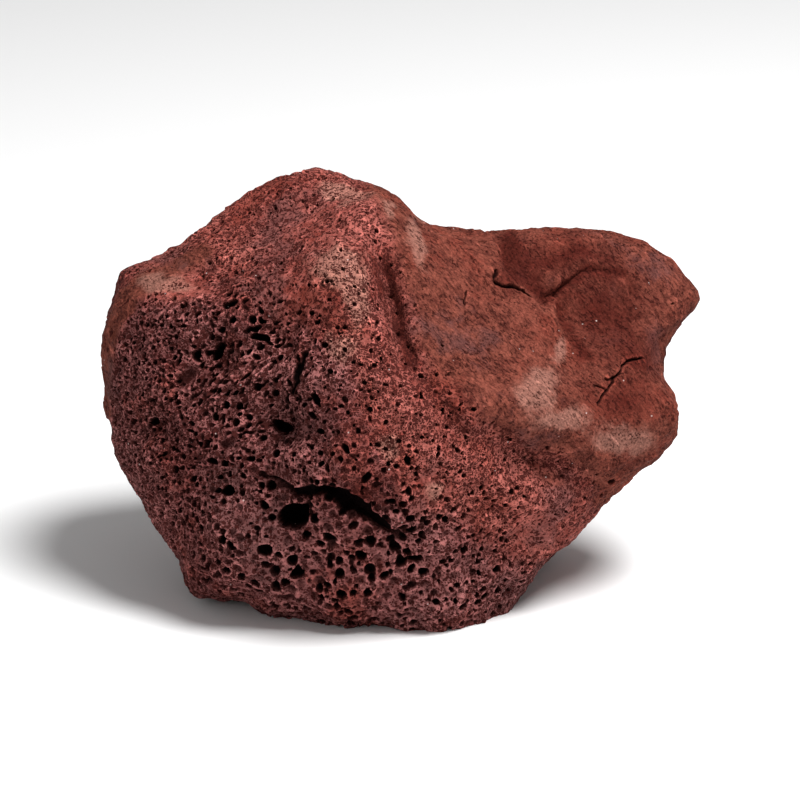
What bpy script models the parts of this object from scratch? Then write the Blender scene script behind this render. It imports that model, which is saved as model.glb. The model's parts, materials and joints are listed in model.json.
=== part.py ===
"""Lava rock: a palm-sized lump of red scoria, cooled and broken as one piece.

The stone is one closed solid that rests on a flat face at z = 0. Lengths below are in millimetres
and are turned into metres once, where the mesh is written. +X is the stone's right, -Y its front,
+Z up. The outline lies in a plane that leans back by LEAN, and everything that is placed on the
front is placed by (across, up) along that plane.
"""

import math

import bmesh
import bpy
import numpy as np

MM = 0.001

# Driving dimensions, in millimetres and degrees.
LEAN = 20.0
FOOT_DROP = 54.0
MIDDLE_ACROSS = -2.0
MIDDLE_BACK = 3.9
MIDDLE_UP = 68.0
FRONT_DEPTH = 64.0
BACK_DEPTH = 60.0
ROUNDNESS = 2.5
BREAK_SHARPNESS = 16.0
OUTLINE_BAND = 0.34

# The outline, anticlockwise from the tip on the right: (across, up).
OUTLINE = (
    (89.6, 99.5), (86.0, 106.0), (78.0, 113.7), (69.0, 117.9), (55.0, 120.2),
    (33.0, 119.6), (15.0, 120.5), (6.0, 122.8), (-0.4, 129.0), (-8.0, 133.3),
    (-25.5, 138.2), (-36.0, 135.9), (-52.3, 126.4), (-60.9, 118.7), (-74.5, 111.2),
    (-82.4, 107.6), (-84.9, 102.6), (-87.8, 94.0), (-89.1, 80.0), (-87.6, 65.5),
    (-84.6, 52.0), (-77.0, 38.5), (-68.4, 24.0), (-61.0, 11.2), (-45.0, 7.6),
    (-40.5, 3.6), (-30.0, 0.8), (-21.0, -1.7), (-7.5, 0.9), (15.0, -4.1),
    (28.0, 0.0), (33.5, 7.2), (37.0, 13.0), (50.2, 25.5), (58.8, 35.9),
    (72.6, 48.4), (81.4, 57.2), (83.0, 62.0), (78.7, 79.0), (82.0, 88.5),
)

# Broken faces: where each one looks (right, up, out of the front) and how far out it lies.
FACES = (
    ("left face", (-0.45, -0.06, 0.89), 62.0),
    ("crown slope", (-0.35, 0.80, 0.48), 65.0),
    ("right slab", (0.42, 0.48, 0.77), 55.0),
    ("lower right face", (0.46, -0.46, 0.76), 60.0),
    ("front foot", (-0.08, -0.62, 0.78), 65.0),
    ("back slope", (-0.15, 0.62, -0.77), 58.0),
    ("back wall", (0.20, 0.05, -0.98), 54.0),
    ("back left", (-0.72, -0.10, -0.69), 66.0),
    ("back right", (0.74, 0.10, -0.66), 62.0),
    ("back foot", (0.05, -0.55, -0.83), 60.0),
)

# Round hollows (negative) and bosses (positive): (across, up), half width, height.
SWELLS = (
    ("bowl", (63.6, 97.0), 13.0, -5.5),
    ("slab hollow", (30.0, 98.0), 22.0, -3.5),
    ("saddle hollow", (20.0, 110.0), 12.0, -2.0),
    ("slab lip", (43.0, 68.0), 10.0, 2.5),
    ("ledge boss", (-14.0, 54.0), 13.0, 3.0),
    ("left hollow", (-34.5, 61.5), 7.0, -3.0),
    ("purple hollow", (-33.0, 91.0), 12.0, -2.5),
    ("side hollow", (-75.0, 61.5), 7.0, -2.5),
    ("foot hollow", (-34.0, 33.0), 10.0, -2.0),
)

# Long hollows (negative) and ridges (positive): a run of (across, up), half width, height.
RUNS = (
    ("groove", ((-5.4, 111.0), (-1.5, 96.0), (4.5, 78.0), (15.0, 63.0)), 3.6, -3.0),
    ("under the lip", ((17.0, 60.0), (30.0, 56.0), (43.5, 49.5), (57.0, 43.5)), 5.0, -3.0),
    ("spine", ((-13.0, 104.0), (-14.0, 94.0), (-12.0, 84.0)), 7.0, 1.5),
    ("gully", ((-51.6, 99.0), (-60.0, 78.0), (-63.0, 69.0)), 5.0, -2.0),
)

# The largest burst bubbles: (across, up) on the front, radii (across, up), tilt in degrees.
FRONT_BUBBLES = (
    ("deep hole", (-30.8, 35.2), (4.6, 3.6), 25.0),
    ("ledge crack", (-17.0, 42.0), (17.0, 2.4), -20.0),
    ("low hole", (-39.2, 25.2), (2.6, 2.8), 0.0),
    ("flat hole", (4.0, 22.9), (3.8, 2.2), -15.0),
    ("middle hollow", (-34.6, 61.5), (4.0, 2.6), -25.0),
    ("slot", (-49.4, 98.1), (3.2, 2.3), 10.0),
    ("upper hole", (-40.6, 87.1), (3.0, 2.2), -10.0),
    ("side hole", (-72.3, 62.7), (3.2, 2.6), 0.0),
)

# Large bubbles elsewhere: where they sit as seen from the middle (right, back, up), and radius.
OTHER_BUBBLES = (
    ("back hole one", (-0.45, 0.85, 0.25), 4.0),
    ("back hole two", (0.20, 0.95, -0.15), 3.2),
    ("back hole three", (-0.10, 0.80, 0.60), 3.0),
    ("right hole", (0.95, 0.25, -0.05), 3.2),
    ("left hole", (-0.92, 0.38, -0.05), 3.6),
    ("crown hole", (-0.30, 0.60, 0.75), 2.8),
)

# Gentle lumps all over: how many waves, their lengths and their height.
LUMP_WAVES = 16
LUMP_LENGTHS = (20.0, 48.0)
LUMP_HEIGHT = 0.55
LUMP_SEED = 11

BODY_SUBDIVISIONS = 5
BUBBLE_SUBDIVISIONS = 2
BUBBLE_DEPTH = 1.1
ROCK_COLOUR = (0.19, 0.062, 0.045, 1.0)
ROCK_ROUGHNESS = 0.92


def clear_scene():
    for thing in list(bpy.data.objects):
        bpy.data.objects.remove(thing, do_unlink=True)


def make_collection(name):
    collection = bpy.data.collections.new(name)
    bpy.context.scene.collection.children.link(collection)
    return collection


def rock_material():
    material = bpy.data.materials.new("red_scoria")
    material.use_nodes = True
    shader = material.node_tree.nodes["Principled BSDF"]
    shader.inputs["Base Color"].default_value = ROCK_COLOUR
    shader.inputs["Roughness"].default_value = ROCK_ROUGHNESS
    shader.inputs["Metallic"].default_value = 0.0
    return material


def to_front(world):
    """World directions or offsets as (right, up, out) along the leaning plane."""
    lean = math.radians(LEAN)
    up = world[..., 1] * math.sin(lean) + world[..., 2] * math.cos(lean)
    out = world[..., 2] * math.sin(lean) - world[..., 1] * math.cos(lean)
    return np.stack((world[..., 0], up, out), axis=-1)


def to_world(front):
    """The reverse of to_front."""
    lean = math.radians(LEAN)
    back = front[..., 1] * math.sin(lean) - front[..., 2] * math.cos(lean)
    rise = front[..., 1] * math.cos(lean) + front[..., 2] * math.sin(lean)
    return np.stack((front[..., 0], back, rise), axis=-1)


def smooth_step(low, high, value):
    t = np.clip((value - low) / (high - low), 0.0, 1.0)
    return t * t * (3.0 - 2.0 * t)


def outline_reach(angle):
    """Distance from the middle to the outline at an angle: a closed cubic through OUTLINE."""
    points = np.array(OUTLINE) - (MIDDLE_ACROSS, MIDDLE_UP)
    turn = np.arctan2(points[:, 1], points[:, 0])
    order = np.argsort(turn)
    turn = turn[order]
    reach = np.hypot(points[:, 0], points[:, 1])[order]
    full = 2.0 * math.pi
    turn = np.concatenate((turn[-2:] - full, turn, turn[:2] + full))
    reach = np.concatenate((reach[-2:], reach, reach[:2]))
    slope = np.gradient(reach, turn)
    at = np.clip(np.searchsorted(turn, angle, side="right") - 1, 1, len(turn) - 3)
    width = turn[at + 1] - turn[at]
    t = (angle - turn[at]) / width
    start = (1.0 + 2.0 * t) * (1.0 - t) ** 2 * reach[at] + t * (1.0 - t) ** 2 * width * slope[at]
    end = t * t * (3.0 - 2.0 * t) * reach[at + 1] + t * t * (t - 1.0) * width * slope[at + 1]
    return start + end


def body_reach(direction):
    """A rounded body inside the outline, trimmed by the broken faces away from the outline."""
    flat = np.hypot(direction[:, 0], direction[:, 1])
    side = outline_reach(np.arctan2(direction[:, 1], direction[:, 0]))
    depth = np.where(direction[:, 2] > 0.0, FRONT_DEPTH, BACK_DEPTH)
    body = (flat / side) ** ROUNDNESS + (np.abs(direction[:, 2]) / depth) ** ROUNDNESS
    body = body ** (-1.0 / ROUNDNESS)
    total = body ** -BREAK_SHARPNESS
    for _, normal, distance in FACES:
        unit = np.array(normal) / np.linalg.norm(normal)
        facing = np.clip(direction @ unit, 0.0, None)
        total = total + (facing / distance) ** BREAK_SHARPNESS
    trimmed = total ** (-1.0 / BREAK_SHARPNESS)
    inside = smooth_step(0.0, OUTLINE_BAND, np.abs(direction[:, 2]))
    return body + inside * (trimmed - body)


def distance_to_run(place, run):
    """Shortest distance in the leaning plane from each place to a broken line."""
    nearest = np.full(len(place), np.inf)
    for start, end in zip(run[:-1], run[1:]):
        start = np.array(start)
        along = np.array(end) - start
        t = np.clip((place - start) @ along / (along @ along), 0.0, 1.0)
        gap = place - start - t[:, None] * along
        nearest = np.minimum(nearest, np.hypot(gap[:, 0], gap[:, 1]))
    return nearest


def front_relief(place):
    """Height added at each (across, up) of the front by the swells and the runs."""
    height = np.zeros(len(place))
    for _, centre, half_width, rise in SWELLS:
        gap = np.hypot(place[:, 0] - centre[0], place[:, 1] - centre[1])
        height += rise * np.exp(-((gap / half_width) ** 2))
    for _, run, half_width, rise in RUNS:
        gap = distance_to_run(place, run)
        height += rise * np.exp(-((gap / half_width) ** 2))
    return height


def lumps(point):
    """A sum of plane waves in random directions, longer waves higher."""
    chance = np.random.default_rng(LUMP_SEED)
    height = np.zeros(len(point))
    for _ in range(LUMP_WAVES):
        heading = chance.normal(size=3)
        heading /= np.linalg.norm(heading)
        length = chance.uniform(*LUMP_LENGTHS)
        phase = chance.uniform(0.0, 2.0 * math.pi)
        wave = np.sin(point @ heading * (2.0 * math.pi / length) + phase)
        height += LUMP_HEIGHT * (length / LUMP_LENGTHS[1]) * wave
    return height


def skin_reach(world_direction):
    """Distance from the middle of the stone to its skin along each unit direction."""
    direction = to_front(world_direction)
    reach = body_reach(direction)
    point = direction * reach[:, None]
    place = point[:, :2] + (MIDDLE_ACROSS, MIDDLE_UP)
    in_front = smooth_step(0.0, OUTLINE_BAND, direction[:, 2])
    off_outline = smooth_step(0.0, OUTLINE_BAND, np.abs(direction[:, 2]))
    return reach + in_front * front_relief(place) + off_outline * lumps(point)


def front_point(across, up):
    """The skin point in front of (across, up): the depth is found by halving a span."""
    near, far = 0.0, 2.0 * FRONT_DEPTH
    for _ in range(40):
        middle = 0.5 * (near + far)
        offset = to_world(np.array((across - MIDDLE_ACROSS, up - MIDDLE_UP, middle)))
        length = np.linalg.norm(offset)
        if length < skin_reach(offset[None, :] / length)[0]:
            near = middle
        else:
            far = middle
    return to_world(np.array((across - MIDDLE_ACROSS, up - MIDDLE_UP, near)))


def settle(offset):
    """From offsets about the middle to places in metres above the resting face."""
    return (offset + (MIDDLE_ACROSS, MIDDLE_BACK, FOOT_DROP)) * MM


def make_body(collection):
    """A fine icosphere pushed out to the skin, cut level and closed by one flat face."""
    mesh = bpy.data.meshes.new("lava_rock")
    shape = bmesh.new()
    bmesh.ops.create_icosphere(shape, subdivisions=BODY_SUBDIVISIONS, radius=1.0)
    direction = np.array([vertex.co[:] for vertex in shape.verts])
    direction /= np.linalg.norm(direction, axis=1)[:, None]
    placed = settle(direction * skin_reach(direction)[:, None])
    for vertex, place in zip(shape.verts, placed):
        vertex.co = place
    everything = shape.verts[:] + shape.edges[:] + shape.faces[:]
    cut = bmesh.ops.bisect_plane(
        shape, geom=everything, dist=1e-7,
        plane_co=(0.0, 0.0, 0.0), plane_no=(0.0, 0.0, -1.0), clear_outer=True,
    )
    rim = [item for item in cut["geom_cut"] if isinstance(item, bmesh.types.BMEdge)]
    bmesh.ops.edgeloop_fill(shape, edges=rim)
    bmesh.ops.recalc_face_normals(shape, faces=shape.faces[:])
    shape.to_mesh(mesh)
    shape.free()
    body = bpy.data.objects.new("lava_rock", mesh)
    body.data.materials.append(rock_material())
    collection.objects.link(body)
    return body


def make_bubble(name, centre, radii, tilt, collection):
    """An egg-shaped cutter: radii across, up and deep, turned by tilt in the leaning plane."""
    mesh = bpy.data.meshes.new(name)
    shape = bmesh.new()
    bmesh.ops.create_icosphere(shape, subdivisions=BUBBLE_SUBDIVISIONS, radius=1.0)
    ball = np.array([vertex.co[:] for vertex in shape.verts]) * radii
    turn = math.radians(tilt)
    across = ball[:, 0] * math.cos(turn) - ball[:, 1] * math.sin(turn)
    up = ball[:, 0] * math.sin(turn) + ball[:, 1] * math.cos(turn)
    placed = settle(centre + to_world(np.stack((across, up, ball[:, 2]), axis=-1)))
    for vertex, place in zip(shape.verts, placed):
        vertex.co = place
    shape.to_mesh(mesh)
    shape.free()
    cutter = bpy.data.objects.new(name, mesh)
    cutter.hide_render = True
    cutter.display_type = "WIRE"
    collection.objects.link(cutter)
    return cutter


def front_bubbles(collection):
    for name, (across, up), radii, tilt in FRONT_BUBBLES:
        deep = BUBBLE_DEPTH * max(min(radii), 0.4 * max(radii))
        yield make_bubble(name, front_point(across, up), (*radii, deep), tilt, collection)


def other_bubbles(collection):
    for name, heading, radius in OTHER_BUBBLES:
        unit = np.array(heading) / np.linalg.norm(heading)
        centre = unit * skin_reach(unit[None, :])[0]
        yield make_bubble(name, centre, (radius, radius, radius), 0.0, collection)


def cut_bubbles(body, cutters):
    for cutter in cutters:
        cut = body.modifiers.new(cutter.name, "BOOLEAN")
        cut.operation = "DIFFERENCE"
        cut.solver = "EXACT"
        cut.object = cutter


def main():
    clear_scene()
    pieces = make_collection("lava rock")
    cutters = make_collection("bubbles")
    body = make_body(pieces)
    cut_bubbles(body, [*front_bubbles(cutters), *other_bubbles(cutters)])


main()
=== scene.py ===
# %% [markdown]
# # A lump of red scoria
#
# Scoria is lava that froze while gas was still leaving it, so it is stone foam: thin walls round
# burst bubbles. This lesson makes one lump of it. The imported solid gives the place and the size.
# The lesson first repeats that solid's skin as a formula, then roughens it, bursts some thousands
# of bubbles in it, thins the mesh, and gives it a finish that follows the same zones as the
# bubbles do. Lengths are in millimetres until the mesh is written, and in metres after that.

# %% Load the frame
import json
import math
import time

import bpy
import numpy as np
from mathutils import Euler, Matrix, Vector

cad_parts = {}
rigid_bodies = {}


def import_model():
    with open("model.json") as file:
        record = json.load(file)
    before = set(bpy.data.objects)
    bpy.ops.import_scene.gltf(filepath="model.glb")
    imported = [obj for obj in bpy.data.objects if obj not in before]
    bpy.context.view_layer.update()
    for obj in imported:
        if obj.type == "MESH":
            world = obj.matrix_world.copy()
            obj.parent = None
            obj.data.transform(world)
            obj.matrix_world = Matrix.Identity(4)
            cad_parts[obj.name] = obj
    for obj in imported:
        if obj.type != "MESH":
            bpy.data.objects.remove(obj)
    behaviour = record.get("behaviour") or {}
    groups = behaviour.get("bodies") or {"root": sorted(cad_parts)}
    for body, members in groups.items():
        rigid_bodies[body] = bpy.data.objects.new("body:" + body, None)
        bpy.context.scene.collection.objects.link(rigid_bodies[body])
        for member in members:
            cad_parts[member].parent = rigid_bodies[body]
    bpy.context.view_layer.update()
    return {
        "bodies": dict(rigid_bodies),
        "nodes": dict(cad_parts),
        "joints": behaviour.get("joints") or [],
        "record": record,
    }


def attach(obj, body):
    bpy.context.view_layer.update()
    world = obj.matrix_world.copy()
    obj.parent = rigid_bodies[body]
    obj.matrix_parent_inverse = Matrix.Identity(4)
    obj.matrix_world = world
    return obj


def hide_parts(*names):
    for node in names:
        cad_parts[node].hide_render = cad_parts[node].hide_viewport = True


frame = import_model()
started = time.time()
MM = 0.001


def say(what):
    print(f"[{time.time() - started:6.1f} s] {what}")


# %% [markdown]
# ## The skin as a formula
#
# From a point in its middle, every part of the stone's skin can be seen, hollows included. So the
# skin is one number for each direction: how far out it lies. Such a shape could be sculpted by
# hand, but a formula can be read, changed and sampled as finely as we like. The outline is given
# in a plane that leans back by 20 degrees, because that is how the stone shows itself best, and
# everything on its front is placed by (across, up) in that plane.

# %% The skin's values
LEAN = 20
FOOT_DROP = 54
MIDDLE_ACROSS = -2
MIDDLE_BACK = 3.9
MIDDLE_UP = 68
FRONT_DEPTH = 64
BACK_DEPTH = 60
ROUNDNESS = 2.5
BREAK_SHARPNESS = 16
OUTLINE_BAND = 0.34

OUTLINE = (
    (89.6, 99.5), (86, 106), (78, 113.7), (69, 117.9), (55, 120.2), (33, 119.6), (15, 120.5),
    (6, 122.8), (-0.4, 129), (-8, 133.3), (-25.5, 138.2), (-36, 135.9), (-52.3, 126.4),
    (-60.9, 118.7), (-74.5, 111.2), (-82.4, 107.6), (-84.9, 102.6), (-87.8, 94), (-89.1, 80),
    (-87.6, 65.5), (-84.6, 52), (-77, 38.5), (-68.4, 24), (-61, 11.2), (-45, 7.6), (-40.5, 3.6),
    (-30, 0.8), (-21, -1.7), (-7.5, 0.9), (15, -4.1), (28, 0), (33.5, 7.2), (37, 13), (50.2, 25.5),
    (58.8, 35.9), (72.6, 48.4), (81.4, 57.2), (83, 62), (78.7, 79), (82, 88.5),
)

# Broken faces: where each one looks (right, up, out of the front) and how far out it lies.
FACES = (
    ("left face", (-0.45, -0.06, 0.89), 62),
    ("crown slope", (-0.35, 0.80, 0.48), 65),
    ("right slab", (0.42, 0.48, 0.77), 55),
    ("lower right face", (0.46, -0.46, 0.76), 60),
    ("front foot", (-0.08, -0.62, 0.78), 65),
    ("back slope", (-0.15, 0.62, -0.77), 58),
    ("back wall", (0.20, 0.05, -0.98), 54),
    ("back left", (-0.72, -0.10, -0.69), 66),
    ("back right", (0.74, 0.10, -0.66), 62),
    ("back foot", (0.05, -0.55, -0.83), 60),
)

# Round hollows (negative) and bosses (positive): (across, up), half width, height.
SWELLS = (
    ("bowl", (63.6, 97), 13, -5.5),
    ("slab hollow", (30, 98), 22, -3.5),
    ("saddle hollow", (20, 110), 12, -2),
    ("slab lip", (43, 68), 10, 2.5),
    ("ledge boss", (-14, 54), 13, 3),
    ("left hollow", (-34.5, 61.5), 7, -3),
    ("purple hollow", (-33, 91), 12, -2.5),
    ("side hollow", (-75, 61.5), 7, -2.5),
    ("foot hollow", (-34, 33), 10, -2),
)

# Long hollows (negative) and ridges (positive): a run of (across, up), half width, height.
RUNS = (
    ("groove", ((-5.4, 111), (-1.5, 96), (4.5, 78), (15, 63)), 3.6, -3),
    ("under the lip", ((17, 60), (30, 56), (43.5, 49.5), (57, 43.5)), 5, -3),
    ("spine", ((-13, 104), (-14, 94), (-12, 84)), 7, 1.5),
    ("gully", ((-51.6, 99), (-60, 78), (-63, 69)), 5, -2),
)

LUMP_WAVES = 16
LUMP_LENGTHS = (20, 48)
LUMP_HEIGHT = 0.55
LUMP_SEED = 11


# %% Turning between the world and the leaning plane
def to_front(world):
    """(x, y, z) as (right, up, out): up and out are z and -y turned back by LEAN."""
    lean = math.radians(LEAN)
    up = world[..., 1] * math.sin(lean) + world[..., 2] * math.cos(lean)
    out = world[..., 2] * math.sin(lean) - world[..., 1] * math.cos(lean)
    return np.stack((world[..., 0], up, out), axis=-1)


def to_world(front):
    """The reverse of to_front."""
    lean = math.radians(LEAN)
    back = front[..., 1] * math.sin(lean) - front[..., 2] * math.cos(lean)
    rise = front[..., 1] * math.cos(lean) + front[..., 2] * math.sin(lean)
    return np.stack((front[..., 0], back, rise), axis=-1)


def smooth_step(low, high, value):
    """0 below low, 1 above high, and 3 t^2 - 2 t^3 between them."""
    t = np.clip((value - low) / (high - low), 0, 1)
    return t * t * (3 - 2 * t)


# %% The outline and the rounded body
def outline_reach(angle):
    """Distance from the middle to the outline at an angle: a closed cubic through OUTLINE."""
    points = np.array(OUTLINE) - (MIDDLE_ACROSS, MIDDLE_UP)
    turn = np.arctan2(points[:, 1], points[:, 0])
    order = np.argsort(turn)
    turn = turn[order]
    reach = np.hypot(points[:, 0], points[:, 1])[order]
    full = 2 * math.pi
    turn = np.concatenate((turn[-2:] - full, turn, turn[:2] + full))
    reach = np.concatenate((reach[-2:], reach, reach[:2]))
    slope = np.gradient(reach, turn)
    at = np.clip(np.searchsorted(turn, angle, side="right") - 1, 1, len(turn) - 3)
    width = turn[at + 1] - turn[at]
    t = (angle - turn[at]) / width
    start = (1 + 2 * t) * (1 - t) ** 2 * reach[at] + t * (1 - t) ** 2 * width * slope[at]
    end = t * t * (3 - 2 * t) * reach[at + 1] + t * t * (t - 1) * width * slope[at + 1]
    return start + end


def body_reach(direction):
    """((flat / side)^n + (out / depth)^n)^(-1/n), trimmed by each face's distance / cosine."""
    flat = np.hypot(direction[:, 0], direction[:, 1])
    side = outline_reach(np.arctan2(direction[:, 1], direction[:, 0]))
    depth = np.where(direction[:, 2] > 0, FRONT_DEPTH, BACK_DEPTH)
    body = (flat / side) ** ROUNDNESS + (np.abs(direction[:, 2]) / depth) ** ROUNDNESS
    body = body ** (-1 / ROUNDNESS)
    total = body ** -BREAK_SHARPNESS
    for _, normal, distance in FACES:
        unit = np.array(normal) / np.linalg.norm(normal)
        facing = np.clip(direction @ unit, 0, None)
        total = total + (facing / distance) ** BREAK_SHARPNESS
    trimmed = total ** (-1 / BREAK_SHARPNESS)
    inside = smooth_step(0, OUTLINE_BAND, np.abs(direction[:, 2]))
    return body + inside * (trimmed - body)


# %% Relief on the front, and gentle lumps all over
def gap_to_piece(place, start, end):
    """Share of a straight piece passed at its point nearest to each place, and the gap there."""
    piece = end - start
    t = np.clip((place - start) @ piece / (piece @ piece), 0, 1)
    return t, place - start - t[:, None] * piece


def distance_to_run(place, run):
    """Shortest distance in the leaning plane from each place to a broken line."""
    nearest = np.full(len(place), np.inf)
    run = np.array(run, dtype=float)
    for start, end in zip(run[:-1], run[1:]):
        _, gap = gap_to_piece(place, start, end)
        nearest = np.minimum(nearest, np.hypot(gap[:, 0], gap[:, 1]))
    return nearest


def along_run(place, run, half_width):
    """exp(-(distance to the run / half width)^2)."""
    return np.exp(-((distance_to_run(place, run) / half_width) ** 2))


def relief(place, swells, runs):
    """Sum of rise * exp(-(distance / half width)^2) over the swells and the runs."""
    height = np.zeros(len(place))
    for _, centre, half_width, rise in swells:
        gap = np.hypot(place[:, 0] - centre[0], place[:, 1] - centre[1])
        height += rise * np.exp(-((gap / half_width) ** 2))
    for _, run, half_width, rise in runs:
        height += rise * along_run(place, run, half_width)
    return height


def lumps(point):
    """A sum of plane waves in random directions, longer waves higher."""
    chance = np.random.default_rng(LUMP_SEED)
    height = np.zeros(len(point))
    for _ in range(LUMP_WAVES):
        heading = chance.normal(size=3)
        heading /= np.linalg.norm(heading)
        length = chance.uniform(*LUMP_LENGTHS)
        phase = chance.uniform(0, 2 * math.pi)
        wave = np.sin(point @ heading * (2 * math.pi / length) + phase)
        height += LUMP_HEIGHT * (length / LUMP_LENGTHS[1]) * wave
    return height


def skin(world_direction):
    """For unit directions: reach, (across, up) on the leaning plane, and how far it faces front."""
    direction = to_front(world_direction)
    reach = body_reach(direction)
    point = direction * reach[:, None]
    place = point[:, :2] + (MIDDLE_ACROSS, MIDDLE_UP)
    in_front = smooth_step(0, OUTLINE_BAND, direction[:, 2])
    off_outline = smooth_step(0, OUTLINE_BAND, np.abs(direction[:, 2]))
    reach = reach + in_front * relief(place, SWELLS, RUNS) + off_outline * lumps(point)
    return reach, place, direction[:, 2]


# %% [markdown]
# ## A grid without poles
#
# A globe's grid pinches at its poles, and the bubbles there would be squeezed. Instead six square
# grids, one for each side of a cube, are blown up to a sphere. Each is a function of two angles
# from -45 to 45 degrees. Where two grids meet they share their border points, so the numbered
# corners of the cube weld them into one closed surface.

# %% Six grids
CELLS = 400
SIDES = np.array([
    [(0, -1, 0), (1, 0, 0), (0, 0, 1)],
    [(0, 1, 0), (-1, 0, 0), (0, 0, 1)],
    [(0, 0, 1), (1, 0, 0), (0, 1, 0)],
    [(0, 0, -1), (1, 0, 0), (0, -1, 0)],
    [(-1, 0, 0), (0, -1, 0), (0, 0, 1)],
    [(1, 0, 0), (0, 1, 0), (0, 0, 1)],
], dtype=float)
QUARTER = math.pi / 4
angles = np.linspace(-QUARTER, QUARTER, CELLS + 1)


def six_grids():
    """Unit directions, shaped (side, row, column, 3): out + tan(a) right + tan(b) up, scaled."""
    slope = np.tan(angles)
    out, right, up = SIDES[:, 0], SIDES[:, 1], SIDES[:, 2]
    grid = out[:, None, None] + slope[None, :, None, None] * right[:, None, None]
    grid = grid + slope[None, None, :, None] * up[:, None, None]
    return grid / np.linalg.norm(grid, axis=-1, keepdims=True)


def shared_numbers():
    """One number for each point of the cube's surface, the same on both sides of an edge."""
    step = np.arange(CELLS + 1)
    row, column = np.meshgrid(step, step, indexing="ij")
    numbers = []
    for out, right, up in SIDES.astype(int):
        spot = (out + 1)[:, None, None] * CELLS
        spot = spot + (2 * row - CELLS) * right[:, None, None]
        spot = spot + (2 * column - CELLS) * up[:, None, None]
        numbers.append((spot[0] * 4 * CELLS + spot[1]) * 4 * CELLS + spot[2])
    return np.array(numbers)


grid = six_grids()
flat_grid = grid.reshape(-1, 3)
smooth_reach, place, facing = skin(flat_grid)
say(f"{len(flat_grid)} grid points, skin from {smooth_reach.min():.1f} to {smooth_reach.max():.1f} mm")

# %% [markdown]
# ## Uneven ground
#
# Broken stone is uneven at every scale. A table of random numbers, read smoothly between its
# entries, gives soft noise; adding the same noise at half the size and half the height, again and
# again, gives rough noise. Noise made this way needs no image and is the same on every run.

# %% Noise
TABLE_SIZE = 64
TABLE_SEED = 7
TURN = np.array(Euler((0.9, 0.5, 1.7)).to_matrix())
SECOND_SHIFT = 31.7
SOFT_HEIGHT = 0.75
ROUGH_SHIFT = 11.3
table = np.random.default_rng(TABLE_SEED).uniform(-1, 1, (TABLE_SIZE,) * 3).astype(np.float32)


def read_table(spot):
    """The table read between entries: a blend of the nearest eight, weighted by 3 t^2 - 2 t^3."""
    corner = np.floor(spot).astype(np.int32)
    t = (spot - corner).astype(np.float32)
    t = t * t * (3 - 2 * t)
    x, y, z = (np.stack((corner, corner + 1), axis=0) % TABLE_SIZE).transpose(2, 0, 1)
    u, v, w = t[:, 0], t[:, 1], t[:, 2]

    def edge(j, k):
        return table[x[0], y[j], z[k]] * (1 - u) + table[x[1], y[j], z[k]] * u

    low = edge(0, 0) * (1 - v) + edge(1, 0) * v
    high = edge(0, 1) * (1 - v) + edge(1, 1) * v
    return low * (1 - w) + high * w


def soft_noise(point, size, shift=0):
    """Two readings of the table, each turned another way, so that its squares don't show."""
    spot = point @ TURN / size + shift
    return SOFT_HEIGHT * (read_table(spot) + read_table(spot @ TURN + SECOND_SHIFT))


def rough_noise(point, size, layers, shift=0):
    """Sum of soft noise at size, size / 2, size / 4 ..., each half as high as the last."""
    total = np.zeros(len(point))
    for layer in range(layers):
        half = 0.5 ** layer
        total += half * soft_noise(point, size * half, shift + ROUGH_SHIFT * layer)
    return total


# %% [markdown]
# ## Where the stone is foam and where it is dense
#
# The stone was torn out of a foamy flow, so most of it is open foam: coarse at the foot, drawn out
# on the left, fine elsewhere. The slab on the right and the wing beyond it are a dense, rusted
# skin with few bubbles. Every later step asks the same function where it is: how rough the ground
# is, how large and how many the bubbles are, and what the colour is.

# %% Zones
SLAB_EDGE = (
    (-14, 150), (-8, 128), (-2.5, 113), (1.5, 100), (4.5, 86), (9, 77), (16, 68),
    (29, 60), (38, 52), (47, 45), (56, 38), (66, 32), (100, 22),
)
# Below this line the front foam takes the shade colours: partly its own purple-grey, partly painted
# shade on the lower left.
SHADE_LINE = (
    (-95, 104), (-70, 101), (-55, 102), (-45, 96), (-30, 92.5), (-20, 88), (-15, 80),
    (-8, 64), (-4, 50), (6, 38), (26, 26), (55, 18), (100, 8),
)
RIM = (
    (-88, 66), (-87.5, 80), (-85.5, 90), (-81, 99), (-75, 104), (-67, 107.5), (-58, 112.5),
)
RIM_HALF_WIDTH = 3.9
RIM_EDGE = (0.25, 0.75)
GROOVE = ((-5, 109), (-2, 99), (0.5, 88), (4.5, 78), (15, 62), (31, 55), (56, 43))
GROOVE_HALF_WIDTH = 3.6

# Patches of the front: middle (across, up), half width across and up.
WARM_PATCHES = (
    (-31, 98.5, 10, 6), (-72, 104, 14, 5), (-62, 101, 8, 3), (8, 42, 5, 5), (42, 30, 14, 8),
)
ZONE_PATCHES = {
    "coarse": (-20, 22, 38, 22),
    "drawn": (-46, 74, 22, 22),
    "crown": (-22, 120, 30, 15),
    "dark hollow": (-46, 91, 10, 8),
    "net": (-66, 66, 18, 34),
}

# How far raggedness moves the borders between zones, in mm for each unit of noise, and over
# which distances, in mm, one zone fades into the next.
RAGGED_SIZE = 12
SLAB_RAGGED = 2.5
GROOVE_RAGGED = 1.5
SHADE_RAGGED = 5
BACK_TO_FRONT = (-0.50, -0.15)
FOAM_EDGE = (-3, 3)
SHADE_EDGE = (-6, 8)
BACK_SHADE = 0.6

# Behind, foam lies under a wavy level: slope, height of the waves, their size, raggedness.
BACK_EDGE_UP = 70
BACK_EDGE = (2.2, 40, 34, 6)
BACK_PATCH_SIZE = 26
BACK_PATCH_EDGE = (0, 0.6)

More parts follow.
